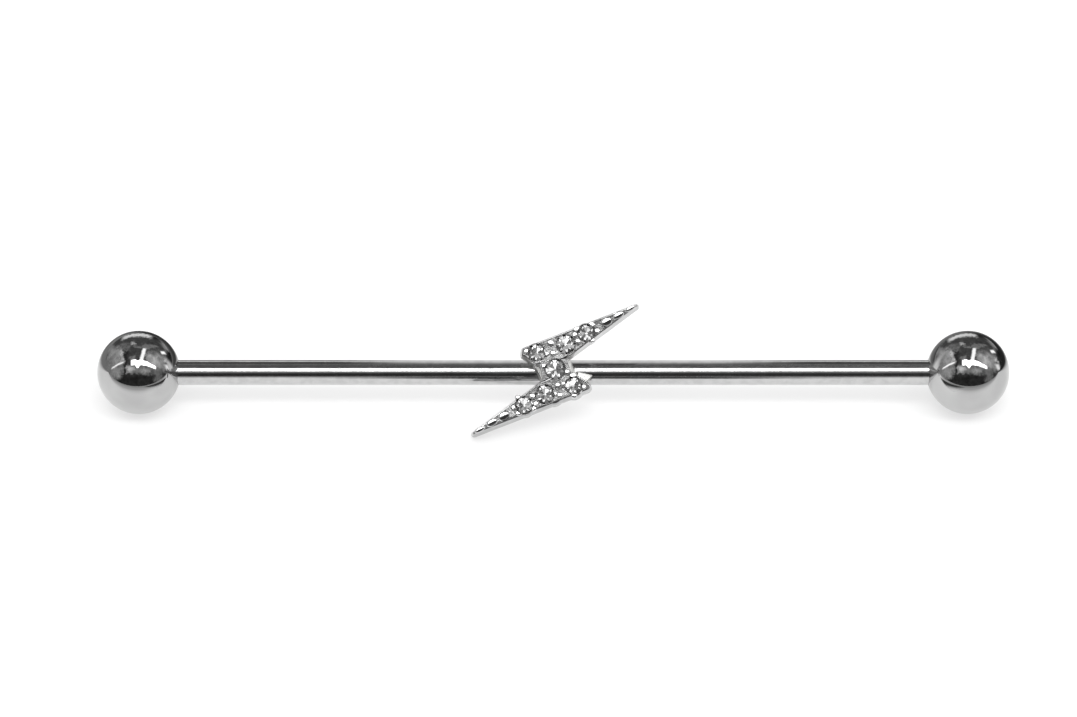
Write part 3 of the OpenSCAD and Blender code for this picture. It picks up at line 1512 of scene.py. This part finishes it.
@dataclass(frozen=True)
class BallView:
    """The room's nodes, with the place where a mirror ball would show each way looked.

    Args:
        sheet: The world's nodes.
        way: The way looked.
        across: Place across the ball, whose radius is one.
        up: Place up the ball.
    """

    sheet: NodeSheet
    way: Socket
    across: Socket
    up: Socket

    @staticmethod
    def of(sheet: NodeSheet, way: Socket, rise_deg: float) -> BallView:
        """Works out where a ball shows each way.

        Args:
            sheet: The world's nodes.
            way: The way looked.
            rise_deg: Height from which the ball is seen, as an angle.

        Returns:
            The view of the ball.
        """
        rise = math.radians(rise_deg)
        both = sheet.vector("ADD", way, (0.0, -math.cos(rise), math.sin(rise))).outputs[0]
        unit = sheet.vector("NORMALIZE", both).outputs[0]
        up = sheet.vector("DOT_PRODUCT", unit, (0.0, math.sin(rise), math.cos(rise))).outputs["Value"]
        return BallView(sheet, way, sheet.add("ShaderNodeSeparateXYZ", Vector=unit).outputs[0], up)

    def wander(self, wander: Wander) -> list[Socket]:
        """Three small values that wander about nought from place to place in the room."""
        sheet = self.sheet
        noise = sheet.noise(self.way, wander.scale, detail=2.0)
        parts = sheet.add("ShaderNodeSeparateXYZ", Vector=noise.outputs["Color"]).outputs
        return [sheet.product(sheet.math("SUBTRACT", part, 0.5), wander.reach) for part in parts[:3]]

    def shifted(self, across: Socket, up: Socket) -> BallView:
        """The same view with its places shifted."""
        sheet = self.sheet
        return replace(self, across=sheet.total(self.across, across), up=sheet.total(self.up, up))

    def lay(self, below: object, card: Card) -> Socket:
        """Lays a card over the room.

        Args:
            below: Brightness of the room so far.
            card: The card.

        Returns:
            The new brightness.
        """
        sheet = self.sheet
        middle = (card.low + card.high) / 2
        lean = sheet.product(sheet.math("SUBTRACT", self.up, middle), card.slant)
        along = sheet.window(sheet.math("SUBTRACT", self.across, lean), card.left, card.right, card.soft)
        mask = sheet.product(along, sheet.window(self.up, card.low, card.high, card.soft))
        return sheet.mix(below, card.glow, mask)


@dataclass
class Room:
    """The room that the steel mirrors: dim walls with pale patches, a bright rim, lamps and tubes.

    Args:
        rise_deg: Height from which the mirror ball that places are named on is seen, as an angle.
        walls: Brightness from the front horizon, over the top, to the back: pairs of degrees and value.
        mottle: Lowest and highest of the factors that mottle the walls.
        mottle_span: Values over which the mottle goes from lowest to highest.
        mottle_scale: How quickly the mottle changes.
        specks: Lowest and highest of the factors that speckle everything but the lamps.
        speck_span: Values over which the specks go from lowest to highest.
        coarse: Wander of the cards' edges in wide bends.
        fine: Wander of the cards' edges in small notches.
        gentle: Wander of the lamps' edges.
        cards: The patches of the walls.
        rim: A pale arc near the ball's upper rim, whose upper and lower edges are distances from its centre.
        rim_from: Heights between which the rim's arc begins to show.
        lights: The small lamps.
        arches: The tubes of light.
        sag_half: Half the width of the sag in a tube's lower edge, and its softness.
        sparkle: The brightest bits and the dimmer half of what the stones show: value, and values of the
            noise between which it appears.
        sparkle_scale: How small those bits are.
        sparkle_floor: Least brightness that the stones show.
    """

    rise_deg: float
    walls: tuple[Place, ...] = (
        (0, 0.03), (25, 0.03), (44, 0.07), (56, 0.05), (76, 0.07), (95, 0.09), (120, 0.14),
        (140, 0.10), (165, 0.05), (178, 0.04),
    )
    mottle: Place = (0.6, 1.5)
    mottle_span: Place = (0.3, 0.7)
    mottle_scale: float = 6.0
    specks: Place = (0.55, 1.55)
    speck_span: Place = (-0.07, 0.07)
    coarse: Wander = Wander(4.5, 0.20)
    fine: Wander = Wander(19.0, 0.13)
    gentle: Wander = Wander(9.0, 0.035)
    cards: tuple[Card, ...] = (
        Card(-0.60, 0.66, 0.50, 0.80, 0.085, 0.07),
        Card(-1.05, -0.60, -0.15, 0.62, 0.26, 0.12),
        Card(-0.70, -0.36, 0.16, 0.58, 0.46, 0.07, -0.10),
        Card(-0.41, -0.35, 0.26, 0.56, 0.85, 0.025, -0.10),
        Card(-0.66, -0.36, -0.12, 0.14, 0.42, 0.08, 0.25),
        Card(0.26, 0.64, 0.04, 0.48, 0.42, 0.10, -0.35),
        Card(0.34, 0.50, 0.16, 0.38, 0.80, 0.07, -0.35),
        Card(0.08, 0.32, -0.02, 0.13, 0.50, 0.07),
        Card(-0.26, -0.08, 0.00, 0.15, 0.80, 0.05),
        Card(-0.07, 0.06, -0.02, 0.19, 0.34, 0.05),
        Card(-0.08, 0.42, 0.59, 0.65, 0.34, 0.04),
        Card(-0.20, -0.10, 0.66, 0.72, 0.75, 0.03),
        Card(0.62, 0.70, 0.27, 0.31, 0.9, 0.03, -0.4),
        Card(0.56, 0.84, 0.54, 0.80, 0.46, 0.06, -0.5),
        Card(-0.40, -0.22, 0.52, 0.68, 0.24, 0.05),
        Card(0.40, 0.58, -0.20, 0.06, 0.22, 0.06),
        Card(-0.17, -0.06, 0.30, 0.40, 0.35, 0.045),
        Card(0.18, 0.32, 0.26, 0.42, 0.55, 0.05),
        Card(0.76, 1.02, 0.10, 0.50, 0.012, 0.05, -0.4),
        Card(-0.325, -0.275, -0.30, 0.52, 0.03, 0.02, 0.05),
    )
    rim: Card = Card(-0.42, 0.25, 0.865, 0.935, 1.15, 0.07)
    rim_soft: float = 0.02
    rim_from: Place = (0.5, 0.6)
    lights: tuple[Card, ...] = (
        Card(0.075, 0.155, 0.28, 0.575, 1.9, 0.02, 0.22),
        Card(0.55, 0.64, 0.45, 0.52, 2.2, 0.025, -0.6),
        Card(0.66, 0.75, 0.06, 0.19, 1.5, 0.035, -0.5),
    )
    arches: tuple[Arch, ...] = (
        Arch(-0.15, 0.42, 0.188, 0.308, 7.0, taper=0.06, sag=0.09),
        Arch(-0.62, -0.34, 0.290, 0.328, 1.9),
    )
    sag_half: Place = (0.03, 0.05)
    sparkle: tuple[Triple, Triple] = ((1.4, 0.53, 0.61), (0.42, 0.40, 0.56))
    sparkle_scale: float = 8.0
    sparkle_floor: float = 0.06

    def paint(self) -> None:
        """Paints the room: white for the eye and the table top, mostly dark where the steel mirrors it."""
        world = bpy.data.worlds.new("studio_room")
        bpy.context.scene.world = world
        world.use_nodes = True
        world.node_tree.nodes.clear()
        sheet = NodeSheet(world.node_tree)
        way = sheet.add("ShaderNodeTexCoord").outputs["Generated"]
        ball = BallView.of(sheet, way, self.rise_deg)
        glow = self._tubes(ball, self._patches(ball, self._walls(sheet, way)))
        rays = sheet.add("ShaderNodeLightPath").outputs
        mirrored = sheet.mix(glow, self._sparkle(sheet, way), rays["Is Transmission Ray"])
        room = sheet.add("ShaderNodeBackground", Color=mirrored, Strength=1.0).outputs[0]
        plain = sheet.add("ShaderNodeBackground", Color=(*grey(1.0), 1.0), Strength=1.0).outputs[0]
        eye = sheet.math("MAXIMUM", rays["Is Camera Ray"], rays["Is Diffuse Ray"])
        sheet.add("ShaderNodeOutputWorld", Surface=sheet.blend(room, plain, eye))

    def _walls(self, sheet: NodeSheet, way: Socket) -> Socket:
        """The mottled walls.

        Args:
            sheet: The world's nodes.
            way: The way looked.

        Returns:
            Their brightness.
        """
        _, y, z = sheet.add("ShaderNodeSeparateXYZ", Vector=way).outputs
        degrees_over = sheet.product(sheet.math("ARCTAN2", z, sheet.product(y, -1.0)), 180 / math.pi)
        node = sheet.tree.nodes.new("ShaderNodeValToRGB")
        sheet.fill(node, (sheet.math("DIVIDE", degrees_over, 180.0),))
        ramp = node.color_ramp
        ramp.elements.remove(ramp.elements[-1])
        for number, (degrees, value) in enumerate(self.walls):
            stop = ramp.elements.new(degrees / 180) if number else ramp.elements[0]
            stop.position = degrees / 180
            stop.color = (*grey(value), 1.0)
        clutter = sheet.noise(way, self.mottle_scale, detail=4.0, roughness=0.6).outputs[0]
        return sheet.product(node.outputs[0], sheet.rescale(clutter, self.mottle_span, self.mottle))

    def _patches(self, ball: BallView, glow: Socket) -> Socket:
        """Lays the cards and the rim's arc over the walls.

        Args:
            ball: Where a ball shows each way.
            glow: Brightness of the walls.

        Returns:
            The new brightness.
        """
        sheet = ball.sheet
        coarse, fine = ball.wander(self.coarse), ball.wander(self.fine)
        ragged = ball.shifted(*coarse[:2]).shifted(*fine[:2])
        for card in self.cards:
            glow = ragged.lay(glow, card)
        speck = sheet.rescale(sheet.total(coarse[2], fine[2]), self.speck_span, self.specks)
        glow = sheet.product(glow, speck)
        squares = sheet.total(sheet.product(ball.across, ball.across), sheet.product(ball.up, ball.up))
        out = sheet.total(sheet.math("SQRT", squares), fine[0])
        ring = sheet.window(out, self.rim.low, self.rim.high, self.rim_soft)
        along = sheet.window(ball.across, self.rim.left, self.rim.right, self.rim.soft)
        mask = sheet.product(ring, along, sheet.ramp(ball.up, *self.rim_from))
        return sheet.mix(glow, self.rim.glow, mask)

    def _tubes(self, ball: BallView, glow: Socket) -> Socket:
        """Lays the small lamps and the tubes of light over the room.

        Args:
            ball: Where a ball shows each way.
            glow: Brightness of the room so far.

        Returns:
            The new brightness.
        """
        sheet = ball.sheet
        tilt, slide, _ = ball.wander(self.gentle)
        bent = ball.shifted(slide, tilt)
        for light in self.lights:
            glow = bent.lay(glow, light)
        square = sheet.product(ball.across, ball.across)
        half, soft = self.sag_half
        middle = sheet.window(ball.across, -half, half, soft)
        for arch in self.arches:
            height = sheet.total(bent.up, sheet.product(square, arch.bend))
            lower = sheet.total(height, sheet.product(middle, arch.sag))
            thin = sheet.product(sheet.ramp(ball.across, arch.taper_from, arch.right), arch.taper)
            upper = sheet.total(height, sheet.total(thin, sheet.product(middle, arch.sag / 3)))
            mask = sheet.product(
                sheet.ramp(lower, arch.low - arch.soft, arch.low + arch.soft),
                sheet.ramp(upper, arch.high + arch.soft, arch.high - arch.soft),
                sheet.window(bent.across, arch.left, arch.right, arch.end_soft),
            )
            glow = sheet.mix(glow, arch.glow, mask)
        return glow

    def _sparkle(self, sheet: NodeSheet, way: Socket) -> Socket:
        """What the stones show of the room: many bright bits on a dim ground."""
        noise = sheet.noise(way, self.sparkle_scale, detail=3.0, roughness=0.6).outputs[0]
        bright, dim = (
            sheet.product(sheet.ramp(noise, low, high), value) for value, low, high in self.sparkle
        )
        return sheet.total(bright, dim, self.sparkle_floor)


@dataclass(frozen=True)
class Flag:
    """A glowing card near the barbell that only the steel's reflections show: a painted reflection.

    Args:
        name: Its name.
        edges: Its left, right, front and back edges in metres, as it lies.
        height: Height of its middle in metres.
        fade: Width of the fade at its sides and at its front and back, in metres.
        tones: Pairs of a place along it, from its own middle in metres, and the brightness there.
        stands: Whether it stands upright instead.
    """

    name: str
    edges: Edges
    height: float
    fade: Place
    tones: tuple[Place, ...]
    stands: bool = False


@dataclass
class Studio:
    """The table top, the flags, the lamp, the room and the camera."""

    floor_size: float = 6.0
    camera_elevation_deg: float = 38.5
    camera_distance: float = 0.30
    view_width: float = 51.74
    sensor_mm: float = 36.0
    clip: Place = (0.01, 50.0)
    aim_x: float = -0.71
    aim_up: float = 0.67
    lamp_at: Triple = (0.0, -0.22, 0.49)
    lamp_size: Place = (1.2, 0.20)
    lamp_radiance: float = 1.2
    # Painted reflections: glowing cards that only the steel's reflections show. The dim ones paint shade
    # into the table's reflection, and the low card standing behind the bar paints a pale patch.
    flags: tuple[Flag, ...] = (
        Flag(
            "back_painted_reflection", (-2.0, 2.0, 0.0036, 2.5036), 0.00004, (0.01, 0.0040),
            (
                (-0.030, 0.30), (-0.017, 0.05), (-0.005, 0.09), (0.005, 0.16), (0.015, 0.26), (0.030, 0.03),
            ),
        ),
        Flag("front_painted_reflection", (-0.0130, 0.0160, -0.0440, -0.0040), 0.00004, (0.009, 0.0020), ((0.0, 0.05),)),
        Flag("near_shade", (-2.0, 2.0, -2.0, -0.005), 0.00001, (0.01, 0.012), ((0.0, 0.62),)),
        Flag("far_shade", (-2.0, 2.0, -2.0, -0.015), 0.00002, (0.01, 0.040), ((0.0, 0.45),)),
        Flag(
            "low_painted_reflection", (-0.011, 0.013, -0.0035, 0.0125), 0.002, (0.006, 0.007), ((0.0, 1.0),), stands=True,
        ),
    )

    @staticmethod
    def sheet_of(name: str, edges: Edges, z: float, finish: bpy.types.Material) -> bpy.types.Object:
        """Lays a flat sheet in the studio.

        Args:
            name: Its name.
            edges: Its left, right, front and back edges in metres.
            z: Its height.
            finish: Its material.

        Returns:
            The object, with its own origin at its middle.
        """
        left, right, front, back = edges
        half_x, half_y = (right - left) / 2, (back - front) / 2
        mesh = bpy.data.meshes.new(name)
        rim = [(-half_x, -half_y, 0), (half_x, -half_y, 0), (half_x, half_y, 0), (-half_x, half_y, 0)]
        mesh.from_pydata(rim, [], [(0, 1, 2, 3)])
        mesh.materials.append(finish)
        item = bpy.data.objects.new(name, mesh)
        item.location = ((left + right) / 2, (front + back) / 2, z)
        bpy.context.scene.collection.objects.link(item)
        return item

    def lay_table(self) -> None:
        """Lays the pale table top."""
        half = self.floor_size / 2
        self.sheet_of("table_top", (-half, half, -half, half), 0.0, TABLE_TOP.material())

    def set_flags(self) -> None:
        """Sets the painted-reflection cards out on and over the table, where only the steel's reflections
        show them.
        """
        for flag in self.flags:
            left, right, front, back = flag.edges
            half = ((right - left) / 2, (back - front) / 2)
            finish = FlagFinish(flag.name, half, flag.fade, flag.tones)
            card = self.sheet_of(flag.name, flag.edges, flag.height, finish.material())
            if flag.stands:
                card.rotation_euler.x = math.pi / 2
            card.visible_camera = card.visible_diffuse = False
            card.visible_transmission = card.visible_shadow = False

    def hang_lamp(self) -> None:
        """Hangs one long soft lamp overhead that looks at the barbell."""
        data = bpy.data.lights.new("overhead_lamp", "AREA")
        data.shape = "RECTANGLE"
        length, width = self.lamp_size
        data.size, data.size_y = length, width
        data.energy = self.lamp_radiance * math.pi * length * width
        lamp = bpy.data.objects.new("overhead_lamp", data)
        lamp.location = self.lamp_at
        aim = Vector(self.lamp_at).normalized()
        side = aim.cross(Vector((1, 0, 0))).normalized()
        lamp.rotation_euler = Matrix((aim.cross(side) * -1, side, aim)).transposed().to_euler()
        lamp.visible_camera = lamp.visible_glossy = False
        bpy.context.scene.collection.objects.link(lamp)

    def place_camera(self) -> None:
        """Sets up the camera at the photograph's angle."""
        rise = math.radians(self.camera_elevation_deg)
        back = Vector((0, -math.cos(rise), math.sin(rise)))
        up = Vector((0, math.sin(rise), math.cos(rise)))
        aim = Vector((self.aim_x, REST.bar_y, REST.bar_z)) * MM + up * self.aim_up * MM
        data = bpy.data.cameras.new("camera")
        data.sensor_width = self.sensor_mm
        data.lens = self.sensor_mm * self.camera_distance / (self.view_width * MM)
        data.clip_start, data.clip_end = self.clip
        camera = bpy.data.objects.new("camera", data)
        camera.location = aim + back * self.camera_distance
        camera.rotation_euler = Matrix((Vector((1, 0, 0)), up, back)).transposed().to_euler()
        bpy.context.scene.collection.objects.link(camera)
        bpy.context.scene.camera = camera

    def set_up(self) -> None:
        """Builds the whole studio."""
        self.lay_table()
        self.set_flags()
        self.hang_lamp()
        Room(self.camera_elevation_deg).paint()
        self.place_camera()
        scene = bpy.context.scene
        scene.view_settings.view_transform = "Standard"
        scene.cycles.use_denoising = True


def main() -> None:
    """Builds the barbell and the studio in order."""
    logging.basicConfig(level=logging.INFO, format="%(name)s: %(message)s")
    setting = BoltSetting()
    pieces = [
        StraightBar().build(),
        ScrewBall(Side.LEFT, Body.LEFT_BALL, "ball_left").build(),
        ScrewBall(Side.RIGHT, Body.RIGHT_BALL, "ball_right").build(),
        setting.build(),
        *setting.build_stones(),
    ]
    for piece in pieces:
        LOG.info("%s: %d points, %d faces", piece.name, len(piece.data.vertices), len(piece.data.polygons))
    Studio().set_up()


if __name__ == "__main__":
    main()
